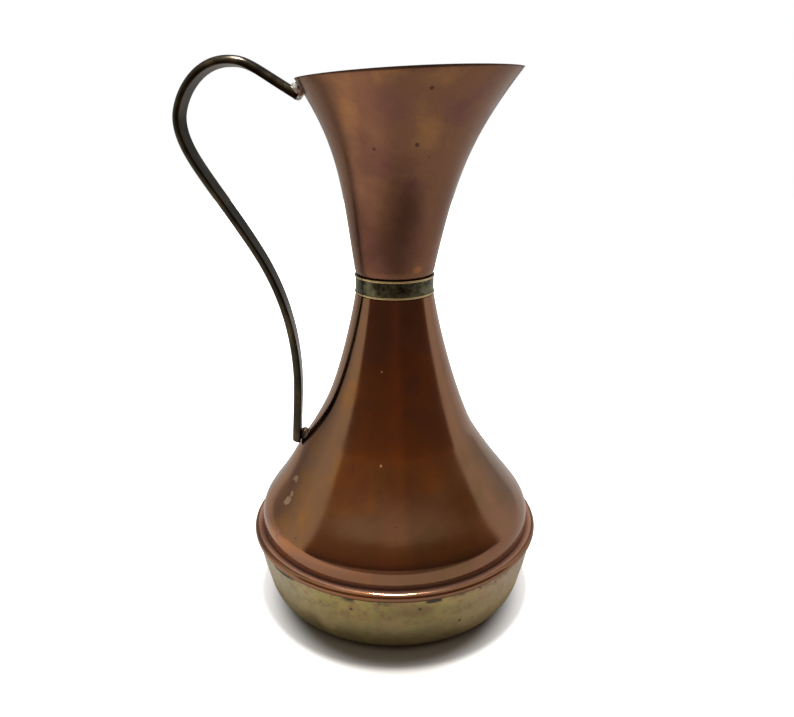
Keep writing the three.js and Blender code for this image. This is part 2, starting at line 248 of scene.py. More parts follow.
# %% Room tones
LEFT_WALL_DEGREES = -76
RIGHT_WALL_DEGREES = 91
WALL_EDGE_DEGREES = 3
CEILING_DROP = 0.085
WALLS_ROUND = [
    (0.00, (0.32, 0.32, 0.32)),
    (0.165, (0.27, 0.27, 0.27)),
    (0.235, (0.64, 0.67, 0.58)),
    (0.80, (0.68, 0.68, 0.64)),
    (0.88, (0.36, 0.36, 0.36)),
    (1.00, (0.32, 0.32, 0.32)),
]
FRONT_UPWARDS = [
    (0.00, (0.16, 0.13, 0.11)),
    (0.40, (0.16, 0.13, 0.11)),
    (0.46, (0.36, 0.30, 0.26)),
    (0.522, (0.36, 0.30, 0.26)),
    (0.532, (0.105, 0.068, 0.055)),
    (0.56, (0.12, 0.075, 0.06)),
    (0.62, (0.18, 0.11, 0.08)),
    (0.72, (0.26, 0.16, 0.09)),
    (0.834, (0.31, 0.21, 0.13)),
    (0.845, (0.52, 0.50, 0.41)),
    (0.875, (0.68, 0.72, 0.64)),
    (1.00, (0.9, 0.9, 0.9)),
]
FRONT_ACROSS = [
    (0.00, (1.0, 1.0, 1.0)),
    (0.34, (0.85, 0.82, 0.80)),
    (0.43, (1.0, 0.85, 0.80)),
    (0.50, (1.0, 0.88, 0.80)),
    (0.56, (0.72, 0.68, 0.66)),
    (0.90, (0.80, 0.76, 0.74)),
    (1.00, (1.0, 1.0, 1.0)),
]
print("dim front is", RIGHT_WALL_DEGREES - LEFT_WALL_DEGREES, "degrees wide")

# %% [markdown]
# The compass direction comes from the two level parts of the viewing direction, with zero straight
# at us. It says where the front ends and the walls begin. Looking straight past the jug we see only
# white, but the metal sees the room.

# %% Room
world = bpy.data.worlds.new("white_room")
bpy.context.scene.world = world
world.use_nodes = True
room = world.node_tree
room.nodes.clear()
towards = axes(room, new_node(room, "ShaderNodeTexCoord").outputs["Generated"])
compass = calculate(room, "ARCTAN2", towards["X"], scaled(room, towards["Y"], -1.0))
left_edge = math.radians(LEFT_WALL_DEGREES)
right_edge = math.radians(RIGHT_WALL_DEGREES)
blur = math.radians(WALL_EDGE_DEGREES)
past_left = stretch(room, compass, left_edge - blur, left_edge + blur)
past_right = stretch(room, compass, right_edge - blur, right_edge + blur, 1.0, 0.0)
in_front = calculate(room, "MULTIPLY", past_left, past_right)

drop = scaled(room, calculate(room, "POWER", compass, 2.0), CEILING_DROP)
height = calculate(room, "ADD", towards["Z"], drop)
upwards = ramp(room, stretch(room, height, -1.0, 1.0, smooth=False), FRONT_UPWARDS)
across = ramp(room, stretch(room, compass, left_edge, right_edge, smooth=False), FRONT_ACROSS)
front_tone = mix_colour(room, 1.0, upwards, across, "MULTIPLY")
wall_tone = ramp(room, stretch(room, compass, -math.pi, math.pi, smooth=False), WALLS_ROUND)
tone = mix_colour(room, in_front, wall_tone, front_tone)

seen_directly = new_node(room, "ShaderNodeLightPath").outputs["Is Camera Ray"]
sky = new_node(room, "ShaderNodeBackground")
feed(room, sky.inputs["Color"], mix_colour(room, seen_directly, tone, (1.0, 1.0, 1.0)))
sky_out = new_node(room, "ShaderNodeOutputWorld")
feed(room, sky_out.inputs["Surface"], sky.outputs[0])
print("room is painted")

# %% [markdown]
# ## The lamp
#
# A lamp almost straight overhead draws the thin bright line along the rolled hem and the glint over
# the top of the handle. It is wide enough to soften the shadow under the jug. It tips a little
# backwards, so that the shadow comes towards us.

# %% Lamp overhead
LAMP_STRENGTH = 9.2
LAMP_WIDE_DEGREES = 13
LAMP_TILT_DEGREES = -7

bpy.ops.object.select_all(action="DESELECT")
bpy.ops.object.light_add(
    type="SUN",
    location=(0, 0, 1),
    rotation=(math.radians(LAMP_TILT_DEGREES), 0, 0),
)
lamp = bpy.context.object
lamp.name = "overhead_lamp"
lamp.data.energy = LAMP_STRENGTH
lamp.data.angle = math.radians(LAMP_WIDE_DEGREES)
bpy.context.scene.view_settings.view_transform = "Standard"
print("lamp is", LAMP_WIDE_DEGREES, "degrees wide")

# %% [markdown]
# ## Drawing an outline and spinning it
#
# A spinner presses a turning disc of metal against a wooden form. In Blender the same thing is done
# in two moves: draw half of the outline as a smooth curve, then spin it once around the jug's
# middle. The outline has only the outer skin. The wall gets its thickness afterwards, inwards, so
# the outside keeps its measured size.
#
# An outline is a list of points in mm, (distance from the middle, height). Two guide points stand
# between each pair of real points, as on any smooth curve drawn with handles.

# %% Outline helpers
AROUND = 192


def straight(start, end):
    third = [start[k] + (end[k] - start[k]) / 3 for k in (0, 1)]
    two_thirds = [start[k] + (end[k] - start[k]) * 2 / 3 for k in (0, 1)]
    return [tuple(third), tuple(two_thirds), end]


def arc(centre, radius, start_degrees, end_degrees):
    start, end = math.radians(start_degrees), math.radians(end_degrees)
    reach = 4 / 3 * math.tan((end - start) / 4) * radius
    first = (centre[0] + radius * math.cos(start), centre[1] + radius * math.sin(start))
    last = (centre[0] + radius * math.cos(end), centre[1] + radius * math.sin(end))
    return [
        first,
        (first[0] - reach * math.sin(start), first[1] + reach * math.cos(start)),
        (last[0] + reach * math.sin(end), last[1] - reach * math.cos(end)),
        last,
    ]


def draw(name, points, steps=24, closed=False):
    bpy.ops.object.select_all(action="DESELECT")
    bpy.ops.curve.primitive_bezier_curve_add()
    drawn = bpy.context.object
    drawn.name = name
    drawn.data.resolution_u = steps
    spline = drawn.data.splines[0]
    real = points[::3]
    if closed:
        real = real[:-1]
    spline.bezier_points.add(len(real) - 2)
    for number, (across, up) in enumerate(real):
        knot = spline.bezier_points[number]
        knot.handle_left_type = knot.handle_right_type = "FREE"
        place = 3 * number
        before = points[place - 1] if place > 0 else (points[-2] if closed else (across, up))
        after = points[place + 1] if place + 1 < len(points) else (across, up)
        knot.co = (across * MM, 0, up * MM)
        knot.handle_left = (before[0] * MM, 0, before[1] * MM)
        knot.handle_right = (after[0] * MM, 0, after[1] * MM)
    spline.use_cyclic_u = closed
    return drawn


def to_mesh(drawn):
    bpy.ops.object.select_all(action="DESELECT")
    drawn.select_set(True)
    bpy.context.view_layer.objects.active = drawn
    bpy.ops.object.convert(target="MESH")
    return bpy.context.object


print("outlines are spun in", AROUND, "steps")

# %% [markdown]
# The next helpers are the bench work. One spins the outline and welds the seam, one gives the skin
# its wall, one rubs sharp corners off, and the last smooths the shading and reports the size. After
# the spin the faces are checked, because an outline drawn upwards can turn the piece inside out.

# %% Spinning helpers
WELD = 0.01
FINE_WELD = 0.001


def spin_round(piece):
    bpy.ops.object.mode_set(mode="EDIT")
    bpy.ops.mesh.select_all(action="SELECT")
    bpy.ops.mesh.spin(steps=AROUND, angle=2 * math.pi, center=(0, 0, 0), axis=(0, 0, 1))
    bpy.ops.mesh.select_all(action="SELECT")
    bpy.ops.mesh.remove_doubles(threshold=WELD * MM)
    bpy.ops.mesh.normals_make_consistent(inside=False)
    bpy.ops.object.mode_set(mode="OBJECT")
    widest = max(piece.data.polygons, key=lambda face: face.center.xy.length)
    if widest.normal.xy.dot(widest.center.xy) < 0:
        bpy.ops.object.mode_set(mode="EDIT")
        bpy.ops.mesh.flip_normals()
        bpy.ops.object.mode_set(mode="OBJECT")


def thicken(piece, thickness):
    wall = piece.modifiers.new("wall", "SOLIDIFY")
    wall.thickness = thickness * MM
    wall.offset = -1
    wall.use_even_offset = True
    bpy.ops.object.modifier_apply(modifier="wall")


def soften(piece, width, corner_degrees=50, segments=2):
    edge = piece.modifiers.new("edge", "BEVEL")
    edge.width = width * MM
    edge.segments = segments
    edge.limit_method = "ANGLE"
    edge.angle_limit = math.radians(corner_degrees)
    bpy.ops.object.modifier_apply(modifier="edge")


def finish_shape(piece, name, smooth_degrees=35):
    bpy.ops.object.shade_smooth_by_angle(angle=math.radians(smooth_degrees))
    piece.name = name
    piece.data.name = name
    triangles = sum(len(face.vertices) - 2 for face in piece.data.polygons)
    high = max(v.co.z for v in piece.data.vertices) / MM
    low = min(v.co.z for v in piece.data.vertices) / MM
    print(name, "has", triangles, "triangles, from", round(low, 1), "to", round(high, 1), "mm high")


print("spinning helpers are ready")

# %% [markdown]
# ## The trumpet neck
#
# The upper half of the jug is one long flare of copper. It is narrow where it leaves the collar and
# opens more and more quickly to the lip, which is cut plain with its sharp corner rubbed off. Inside
# the collar it goes on as a short straight tail that slides into the bell.
#
# The flare isn't quite upright: the smith leaned it a little to the pouring side, and the mouth
# slopes with it. So it is spun straight first and leaned afterwards.

# %% Trumpet neck
COPPER_SHEET = 1.0
COLLAR_TOP = 182
LIP_HEIGHT = 280.3
LIP_RADIUS = 54.8
LIP_SHIFT = 7.0
LIP_RISE = 0.0484
LIP_DIP = 0.95
LEAN_POWER = 1.4
TAIL_RADIUS = 18.3
TAIL_END = 166
STEP_HEIGHT = 182.3
CUT_EDGE = 0.15

TRUMPET = [(TAIL_RADIUS, TAIL_END)]
TRUMPET += straight(TRUMPET[-1], (TAIL_RADIUS, STEP_HEIGHT))
TRUMPET += straight(TRUMPET[-1], (19.5, STEP_HEIGHT))
TRUMPET += [(20.2, STEP_HEIGHT), (20.8, 184.0), (21.2, 187)]
TRUMPET += [(29, 231.3), (32.5, 247.8), (LIP_RADIUS, LIP_HEIGHT)]


def trim_above(piece, height):
    bpy.ops.object.mode_set(mode="EDIT")
    bpy.ops.mesh.select_all(action="SELECT")
    bpy.ops.mesh.bisect(
        plane_co=(0, 0, height * MM),
        plane_no=(0, 0, 1),
        use_fill=False,
        clear_outer=True,
        threshold=FINE_WELD * MM,
    )
    bpy.ops.mesh.select_all(action="DESELECT")
    bpy.ops.mesh.select_non_manifold()
    bpy.ops.mesh.bridge_edge_loops()
    bpy.ops.object.mode_set(mode="OBJECT")


def lean(piece):
    for vertex in piece.data.vertices:
        share = max((vertex.co.z / MM - COLLAR_TOP) / (LIP_HEIGHT - COLLAR_TOP), 0) ** LEAN_POWER
        dip = LIP_DIP * MM * (vertex.co.x / MM / LIP_RADIUS) ** 2
        vertex.co.z += share * (LIP_RISE * vertex.co.x - dip)
        vertex.co.x += LIP_SHIFT * share * MM


trumpet = to_mesh(draw("trumpet", TRUMPET, steps=20))
spin_round(trumpet)
thicken(trumpet, COPPER_SHEET)
trim_above(trumpet, LIP_HEIGHT)
soften(trumpet, CUT_EDGE)
lean(trumpet)
finish_shape(trumpet, "trumpet_neck_skin")

# %% [markdown]
# ## The bell
#
# The lower copper piece starts as wide as a finger ring inside the collar, swells in one slow curve,
# and turns down at the shoulder. Its hem is rolled over into a round bead that grips the brass bowl.
# A sharp crease above the bead shows where the roller pressed, and it is darkened with painted shade
# and old polish dirt.
#
# At the back of the handle the copper rises in a soft swelling, where the smith hammered it out to
# give the handle a seat. The swelling is pushed out of the finished wall, so both sides move alike.

# %% Bell
WAIST_HEIGHT = 172.2
HEM_BEAD = 2.6
HEM_CENTRE = (77.8, 38.5)
SWELL = 3.3
SWELL_HEIGHT = 90
SWELL_TALL = 18
SWELL_WIDE = 0.5
NECK_INSIDE_COLLAR = 19.6
SHOULDER_RADIUS = 75.4
CREASE_HEIGHT = 40.6

BELL = [(NECK_INSIDE_COLLAR, COLLAR_TOP)]
BELL += straight(BELL[-1], (NECK_INSIDE_COLLAR, WAIST_HEIGHT + 0.6))
BELL += [(NECK_INSIDE_COLLAR, WAIST_HEIGHT + 0.2), (20.0, WAIST_HEIGHT), (20.6, WAIST_HEIGHT - 0.2)]
BELL += [(27.3, 133.8), (40.4, 100.5), (44.3, 94.4)]
BELL += [(65.2, 61.2), (SHOULDER_RADIUS, 57.2), (SHOULDER_RADIUS, 46)]
BELL += straight(BELL[-1], (SHOULDER_RADIUS, CREASE_HEIGHT))
BELL += straight(BELL[-1], arc(HEM_CENTRE, HEM_BEAD, 140, 80)[0])
for start, end in ((140, 80), (80, 30), (30, -50)):
    BELL += arc(HEM_CENTRE, HEM_BEAD, start, end)[1:]


def swell(piece):
    for vertex in piece.data.vertices:
        across = vertex.co.xy.length
        turn = math.atan2(vertex.co.y, -vertex.co.x)
        height = (vertex.co.z / MM - SWELL_HEIGHT) / SWELL_TALL
        push = SWELL * MM * math.exp(-(turn / SWELL_WIDE) ** 2 - height ** 2)
        vertex.co.xy *= (across + push) / across


bell = to_mesh(draw("bell", BELL, steps=20))
spin_round(bell)
thicken(bell, COPPER_SHEET)
swell(bell)
finish_shape(bell, "bell_body_skin")

# %% [markdown]
# ## The bowl
#
# The jug stands on a shallow bowl of brass. Its side leans out as it rises, and its upper edge is
# hidden inside the rolled hem. Below, it turns in a round sweep to a flat foot.

# %% Bowl
BRASS_SHEET = 1.0
FOOT_RADIUS = 63
BOWL_RADIUS = 78.3
BOWL_EDGE_HEIGHT = 39.2
BOWL_EDGE = 0.25

BOWL = [(0, 0)]
BOWL += straight(BOWL[-1], (FOOT_RADIUS, 0))
BOWL += [(68.7, 0), (71.7, 3.9), (73.5, 11)]
BOWL += [(75.6, 20.2), (BOWL_RADIUS, 28.4), (BOWL_RADIUS, 35.9)]
BOWL += straight(BOWL[-1], (BOWL_RADIUS, BOWL_EDGE_HEIGHT))

bowl = to_mesh(draw("bowl", BOWL, steps=20))
spin_round(bowl)
thicken(bowl, BRASS_SHEET)
soften(bowl, BOWL_EDGE)
finish_shape(bowl, "base_bowl_skin")

# %% [markdown]
# ## The collar
#
# A narrow brass ring hides the joint between the two copper pieces. It has a fine bead along its top
# and bottom edges. Its outline is a closed loop, so one spin makes a solid ring with no open edge.

# %% Collar
COLLAR_INSIDE = 19.9
COLLAR_FACE = 20.5
COLLAR_BEAD = 0.65
WAIST = WAIST_HEIGHT + 0.05

BEAD_ACROSS = COLLAR_FACE - 0.2
low_bead = (BEAD_ACROSS, WAIST + COLLAR_BEAD)
high_bead = (BEAD_ACROSS, COLLAR_TOP - COLLAR_BEAD)
COLLAR = arc(low_bead, COLLAR_BEAD, -90, 0)
COLLAR += arc(low_bead, COLLAR_BEAD, 0, 72)[1:]
COLLAR += straight(COLLAR[-1], (COLLAR_FACE, WAIST + 2 * COLLAR_BEAD + 0.2))
COLLAR += straight(COLLAR[-1], (COLLAR_FACE, COLLAR_TOP - 2 * COLLAR_BEAD - 0.2))
COLLAR += straight(COLLAR[-1], arc(high_bead, COLLAR_BEAD, -72, 0)[0])
COLLAR += arc(high_bead, COLLAR_BEAD, -72, 0)[1:]
COLLAR += arc(high_bead, COLLAR_BEAD, 0, 90)[1:]
COLLAR += straight(COLLAR[-1], (COLLAR_INSIDE, COLLAR_TOP))
COLLAR += straight(COLLAR[-1], (COLLAR_INSIDE, WAIST))
COLLAR += straight(COLLAR[-1], COLLAR[0])

collar = to_mesh(draw("collar", COLLAR, steps=8, closed=True))
spin_round(collar)
finish_shape(collar, "waist_collar_band")

# %% [markdown]
# ## The handle
#
# The handle is one length of half-round brass bar: flat on the side that faces the jug, and round on
# the outside. It leaves the rim, loops over, runs down in a long slant and straightens at the bell.
# It is made as a smith would: the line of the bend is drawn first, and then the bar's section
# follows it. Towards the top the smith's bend also twisted the bar a little.

# %% Handle
BAR_WIDE = 9.5
BAR_THICK = 4.75
BAR_CORNER = 0.7
BAR_EDGE = 0.3
HANDLE = [(-47.4, 267.2), (-69.8, 280.5), (-70.9, 282.7), (-79.2, 282.7)]
HANDLE += [(-94.8, 282.7), (-103.4, 265.7), (-103.4, 257.6)]
HANDLE += [(-103.4, 244.5), (-93.0, 232.7), (-75.1, 204.0)]
HANDLE += [(-67.8, 192.1), (-50.7, 167), (-50.7, 123)]
HANDLE += [(-50.7, 114.6), (-52.4, 94.5), (-52.8, 86.5)]
TWIST_DEGREES = [0, 8, 12, 10, 0, 0]

QUARTER_ROUND = 0.5523

half = BAR_WIDE / 2
shoulder = BAR_CORNER + QUARTER_ROUND * (BAR_THICK - BAR_CORNER)
corner = 0.3 * BAR_CORNER
SECTION = [(-half + BAR_CORNER, 0)]
SECTION += straight(SECTION[-1], (half - BAR_CORNER, 0))
SECTION += [(half - corner, 0), (half, corner), (half, BAR_CORNER)]
SECTION += [(half, shoulder), (half * QUARTER_ROUND, BAR_THICK), (0, BAR_THICK)]
SECTION += [(-half * QUARTER_ROUND, BAR_THICK), (-half, shoulder), (-half, BAR_CORNER)]
SECTION += [(-half, corner), (-half + corner, 0), (-half + BAR_CORNER, 0)]
print("bar is", BAR_WIDE, "mm wide and", BAR_THICK, "mm thick")

# %% [markdown]
# The section is laid flat, because a bend reads its section that way. Then it is carried along the
# line with closed ends, welded, and its long edges are rubbed round.

# %% Bent bar
section = draw("bar_section", SECTION, steps=8, closed=True)
for knot in section.data.splines[0].bezier_points:
    for part in ("co", "handle_left", "handle_right"):
        x, y, z = getattr(knot, part)
        setattr(knot, part, (x, z, 0))
handle_line = draw("handle_line", HANDLE, steps=40)
for knot, twist in zip(handle_line.data.splines[0].bezier_points, TWIST_DEGREES):
    knot.tilt = math.radians(twist)
handle_line.data.dimensions = "3D"
handle_line.data.twist_mode = "MINIMUM"
handle_line.data.bevel_mode = "OBJECT"
handle_line.data.bevel_object = section
handle_line.data.use_fill_caps = True
handle = to_mesh(handle_line)
bpy.data.objects.remove(section)
bpy.ops.object.mode_set(mode="EDIT")
bpy.ops.mesh.select_all(action="SELECT")
bpy.ops.mesh.remove_doubles(threshold=FINE_WELD * MM)
bpy.ops.mesh.normals_make_consistent(inside=False)
bpy.ops.object.mode_set(mode="OBJECT")
soften(handle, BAR_EDGE, corner_degrees=70)
finish_shape(handle, "handle_bar")
xs = [v.co.x / MM for v in handle.data.vertices]
zs = [v.co.z / MM for v in handle.data.vertices]
print("bar spans x", round(min(xs), 1), round(max(xs), 1), "z", round(min(zs), 1), round(max(zs), 1))

# %% [markdown]
# ## Solder at the handle
#
# The bar was fixed with soft solder, which ran into the corners and froze in rounded lumps. Each
# lump starts as a ball, is squashed to the size of its corner, roughened a little, and then pressed
# back so that it stops inside the copper wall behind it.

# %% Solder helper
LUMP_GRAIN = 2.2
LUMP_DEPTH = 1.1


def solder_lump(name, centre, reach, wall_foot, wall_slope, sink=0.45):
    bpy.ops.object.select_all(action="DESELECT")
    bpy.ops.mesh.primitive_ico_sphere_add(subdivisions=5, radius=MM)
    lump = bpy.context.object
    bpy.ops.object.mode_set(mode="EDIT")
    bpy.ops.mesh.select_all(action="SELECT")
    bpy.ops.transform.resize(value=reach)
    bpy.ops.transform.translate(value=[v * MM for v in centre])
    bpy.ops.object.mode_set(mode="OBJECT")
    bpy.ops.object.transform_apply(location=True, rotation=True, scale=True)
    lumpy = bpy.data.textures.new(name + "_lumps", "CLOUDS")
    lumpy.noise_scale = LUMP_GRAIN * MM
    rough = lump.modifiers.new("rough", "DISPLACE")
    rough.texture = lumpy
    rough.strength = LUMP_DEPTH * MM
    rough.mid_level = 0.5
    bpy.ops.object.modifier_apply(modifier="rough")
    for vertex in lump.data.vertices:
        wall = wall_foot[0] + wall_slope * (vertex.co.z / MM - wall_foot[1])
        vertex.co.x = min(vertex.co.x, (wall + sink) * MM)
    finish_shape(lump, name, smooth_degrees=60)
    return lump


# %% [markdown]
# The upper lump sits under the rim, between the bar and the flare. The lower one fills the corner
# between the bar's foot and the swelling of the bell. Each is given the slope of the wall behind it.

# %% Solder lumps
top_lump = solder_lump("handle_top_lump", (-46.9, 0, 271.3), (3.4, 4.1, 4.2), (-41.2, 265.8), -0.595)
foot_lump = solder_lump("handle_foot_lump", (-50.4, 0, 89.4), (2.4, 4.3, 4.4), (-52.9, 86.5), 0.70)
print("solder is in both corners")

# %% [markdown]
# ## Finish recipes
#
# Old copper isn't one colour. Handling, polish and air leave broad clouds of purple-brown, orange
# and olive, with small dark pits and a few green marks. Every finish below is the same recipe with
# other amounts: clouds of tone, marks at known places, a changing polish, and a very fine unevenness
# that makes the reflections swim a little, as they do on hand-worked sheet.

# %% Pattern helpers
def start_finish(name):
    made = bpy.data.materials.new(name)
    made.use_nodes = True
    tree = made.node_tree
    where = new_node(tree, "ShaderNodeTexCoord").outputs["Object"]
    return made, tree, tree.nodes["Principled BSDF"], where


def clouds(tree, where, size, seed=0.0, detail=3.0, roughness=0.55):
    made = new_node(tree, "ShaderNodeTexNoise", noise_dimensions="4D")
    feed(tree, made.inputs["Vector"], where)
    made.inputs["W"].default_value = seed
    made.inputs["Scale"].default_value = 1 / (size * MM)
    made.inputs["Detail"].default_value = detail
    made.inputs["Roughness"].default_value = roughness
    return made.outputs[0]


def mark(tree, where, place, reach, ragged=0.5, seed=0.0, soft=0.4):
    offset = new_node(tree, "ShaderNodeVectorMath", operation="SUBTRACT")
    feed(tree, offset.inputs[0], where)
    offset.inputs[1].default_value = [v * MM for v in place]
    shrunk = new_node(tree, "ShaderNodeVectorMath", operation="DIVIDE")
    feed(tree, shrunk.inputs[0], offset.outputs[0])
    shrunk.inputs[1].default_value = [v * MM for v in reach]
    far = length_of(tree, shrunk.outputs[0])
    edge = clouds(tree, where, min(reach), seed)
    wander = calculate(tree, "MULTIPLY", calculate(tree, "SUBTRACT", edge, 0.5), 2 * ragged)
    return stretch(tree, calculate(tree, "ADD", far, wander), 1 - soft, 1, 1.0, 0.0)


def from_middle(tree, where):
    level = new_node(tree, "ShaderNodeVectorMath", operation="MULTIPLY")
    feed(tree, level.inputs[0], where)
    level.inputs[1].default_value = (1, 1, 0)
    return length_of(tree, level.outputs[0])


print("pattern helpers are ready")

# %% [markdown]
# The second half of the recipe puts the patterns to use. A glaze is a thin coat of another colour, a
# cover feeds the finished tone, gloss and metal to the shader, and the last helper bends the
# reflections without moving the metal itself.

# %% Coat helpers
CLOUD_LOW = 0.35
CLOUD_HIGH = 0.7


def marks(tree, where, rows, ragged):
    found = 0.0
    for place, reach, seed in rows:
        found = calculate(tree, "MAXIMUM", found, mark(tree, where, place, reach, ragged, seed))
    return found


def glaze(tree, tone, share, colour, amount=1.0):
    return mix_colour(tree, scaled(tree, share, amount), tone, colour)


def polish(tree, cloud, shiny, dull):
    return stretch(tree, cloud, CLOUD_LOW, CLOUD_HIGH, shiny, dull)


def cover(tree, shader, tone, roughness, metal=1.0):
    feed(tree, shader.inputs["Base Color"], tone)
    feed(tree, shader.inputs["Roughness"], roughness)
    feed(tree, shader.inputs["Metallic"], metal)


def uneven(tree, shader, where, layers):
    normal = None
    for size, depth, seed in layers:
        bump = new_node(tree, "ShaderNodeBump")
        bump.inputs["Strength"].default_value = 1.0
        bump.inputs["Distance"].default_value = depth * MM
        feed(tree, bump.inputs["Height"], clouds(tree, where, size, seed))
        if normal is not None:
            feed(tree, bump.inputs["Normal"], normal)
        normal = bump.outputs[0]
    feed(tree, shader.inputs["Normal"], normal)


print("coat helpers are ready")

# %% [markdown]
# ## Copper of the bell
#
# The bell is the glossiest piece. Its broad clouds run from olive through brown and orange to
# purple, with an olive and an orange cloud at known places on the front.

# %% Bell copper tones
COPPER_OLIVE = (0.215, 0.125, 0.055)
COPPER_BROWN = (0.300, 0.148, 0.082)
COPPER_ORANGE = (0.390, 0.165, 0.058)
COPPER_PURPLE = (0.270, 0.130, 0.100)
BELL_CLOUDS = [
    (0.30, COPPER_OLIVE),
    (0.43, COPPER_BROWN),
    (0.52, COPPER_BROWN),
    (0.62, COPPER_ORANGE),
    (0.74, COPPER_PURPLE),
]

bell_copper, tree, shader, where = start_finish("bell_copper")
tone = ramp(tree, clouds(tree, where, 46, seed=2.0, detail=4), BELL_CLOUDS)
small = clouds(tree, where, 7, seed=5.0, detail=6, roughness=0.62)
tone = mix_colour(tree, stretch(tree, small, 0.35, 0.7, 0.0, 0.35), tone, COPPER_PURPLE)
olive_cloud = mark(tree, where, (0, -49, 89), (13, 13, 12), seed=1.0, soft=0.8)
tone = glaze(tree, tone, olive_cloud, COPPER_OLIVE, 0.55)
orange_cloud = mark(tree, where, (18, -46, 86), (11, 12, 12), seed=2.0, soft=0.9)
tone = glaze(tree, tone, orange_cloud, COPPER_ORANGE, 0.8)
print("bell has", len(BELL_CLOUDS), "cloud tones")

# %% [markdown]
# Green tarnish has started near the handle and on the hidden side. It isn't metal any more, so it is
# also dull. The crease above the bead is darkened with painted shade and old polish dirt, from the
# bead's inner slope to just under the bright band of the wall.

# %% Bell tarnish
TARNISH_GREEN = (0.075, 0.085, 0.062)
CREASE_SHADE_AND_DIRT = (0.085, 0.035, 0.020)
BELL_PIT = (0.10, 0.055, 0.035)
GREEN_MARKS = [
    ((-58.3, -31.8, 65.5), (3.2, 3.2, 3.4), 3.0),
    ((-53.0, -24.4, 74.6), (3.8, 2.6, 1.7), 4.0),
    ((-55.5, -30.5, 69.2), (1.6, 2.0, 2.4), 5.0),
    ((-62.1, -41.4, 51.8), (1.3, 1.6, 4.4), 6.0),
    ((-47.8, -3.0, 90.0), (3.5, 4.5, 3.5), 7.0),
    ((-62.5, 6.0, 71.0), (2.4, 3.2, 2.0), 8.0),
    ((30.0, 61.0, 60.0), (4.0, 2.5, 3.0), 9.0),
]

green = marks(tree, where, GREEN_MARKS, ragged=0.9)
tone = glaze(tree, tone, green, TARNISH_GREEN, 0.55)
height = axes(tree, where)["Z"]
hem_radius, hem_height = HEM_CENTRE
# painted shade and old polish dirt: the crease above the bead is darkened and dulled
inside_bead = fade(tree, from_middle(tree, where), hem_radius + 0.2, hem_radius + 1.0, 1.0, 0.0)
above_bead = fade(tree, height, hem_height + 0.7, hem_height + 1.3)
below_band = fade(tree, height, hem_height + 3.1, hem_height + 5.5, 1.0, 0.0)
crease = calculate(tree, "MULTIPLY", calculate(tree, "MULTIPLY", above_bead, below_band), inside_bead)
tone = glaze(tree, tone, crease, CREASE_SHADE_AND_DIRT, 0.85)
pits = stretch(tree, clouds(tree, where, 2.4, seed=11.0, detail=1), 0.74, 0.80)
tone = glaze(tree, tone, pits, BELL_PIT, 0.6)
print("bell has", len(GREEN_MARKS), "green marks")

# %% [markdown]
# Two tiny nicks show fresh metal. What is tarnished or dirty is rougher and less like metal, and the
# rest changes its gloss slowly. Very shallow bumps, wide and fine, make the reflections swim.

# %% Bell gloss
NICK_BRIGHT = (0.95, 0.50, 0.22)

nicks = mark(tree, where, (-7.0, -44.8, 92.7), (0.75, 0.75, 0.9), ragged=0.2, seed=1.0)
upper_nick = mark(tree, where, (-6.6, -27.9, 137), (0.5, 0.5, 0.5), ragged=0.2)
nicks = calculate(tree, "MAXIMUM", nicks, upper_nick)
tone = mix_colour(tree, nicks, tone, NICK_BRIGHT)
dull = calculate(tree, "MAXIMUM", green, crease)
gloss = polish(tree, clouds(tree, where, 22, seed=7.0, detail=5), 0.10, 0.19)
gloss = calculate(tree, "ADD", gloss, scaled(tree, dull, 0.35))
gloss = calculate(tree, "ADD", gloss, scaled(tree, nicks, 0.5))
cover(tree, shader, tone, gloss, metal=stretch(tree, dull, 0.0, 1.0, 1.0, 0.30))
uneven(tree, shader, where, [(30, 0.12, 1.0), (3.0, 0.006, 2.0)])
print("bell copper is ready")

# %% [markdown]
# ## Copper of the trumpet
#
# The trumpet was handled and wiped more, so it is satin and cloudier: purple-brown in the middle of
# the flare, warm orange to either side, darker towards the waist.

# %% Trumpet copper tones
FLARE_PURPLE = (0.180, 0.079, 0.063)
FLARE_BROWN = (0.225, 0.108, 0.060)
FLARE_ORANGE = (0.350, 0.170, 0.066)
FLARE_DARK = (0.105, 0.044, 0.030)
FLARE_RUBBED = (0.42, 0.16, 0.06)
FLARE_CLOUDS = [
    (0.34, FLARE_PURPLE),
    (0.46, FLARE_BROWN),
    (0.58, FLARE_BROWN),
    (0.72, FLARE_ORANGE),
]
FLARE_PLACES = [
    ((-4, -44, 265), (14, 12, 16), 1.0, 0.75, FLARE_PURPLE),
    ((-21, -37, 258), (8, 12, 26), 2.0, 0.75, FLARE_ORANGE),
    ((15, -38, 252), (10, 10, 15), 3.0, 0.65, FLARE_ORANGE),
    ((22, -52, 276), (16, 10, 6), 4.0, 0.50, FLARE_ORANGE),
    ((7, -27, 214), (11, 12, 26), 5.0, 0.80, FLARE_DARK),
    ((0, -23, 198), (26, 14, 22), 6.0, 0.60, FLARE_DARK),
    ((24, -14, 215), (10, 12, 26), 8.0, 0.30, FLARE_DARK),
    ((-14, -18, 203), (16, 14, 36), 9.0, 0.80, FLARE_DARK),
    ((-13, -28, 245), (8, 12, 22), 10.0, 0.45, FLARE_DARK),
    ((12, -19, 187), (4, 5, 3), 7.0, 0.80, FLARE_RUBBED),
]

trumpet_copper, tree, shader, where = start_finish("trumpet_copper")
tone = ramp(tree, clouds(tree, where, 30, seed=4.0, detail=4), FLARE_CLOUDS)
for spot, reach, seed, share, colour in FLARE_PLACES:
    tone = glaze(tree, tone, mark(tree, where, spot, reach, seed=seed, soft=0.85), colour, share)
small = clouds(tree, where, 6, seed=6.0, detail=6, roughness=0.65)
tone = mix_colour(tree, stretch(tree, small, 0.40, 0.75, 0.0, 0.45), tone, FLARE_PURPLE)
print("trumpet has", len(FLARE_PLACES), "clouds at known places")

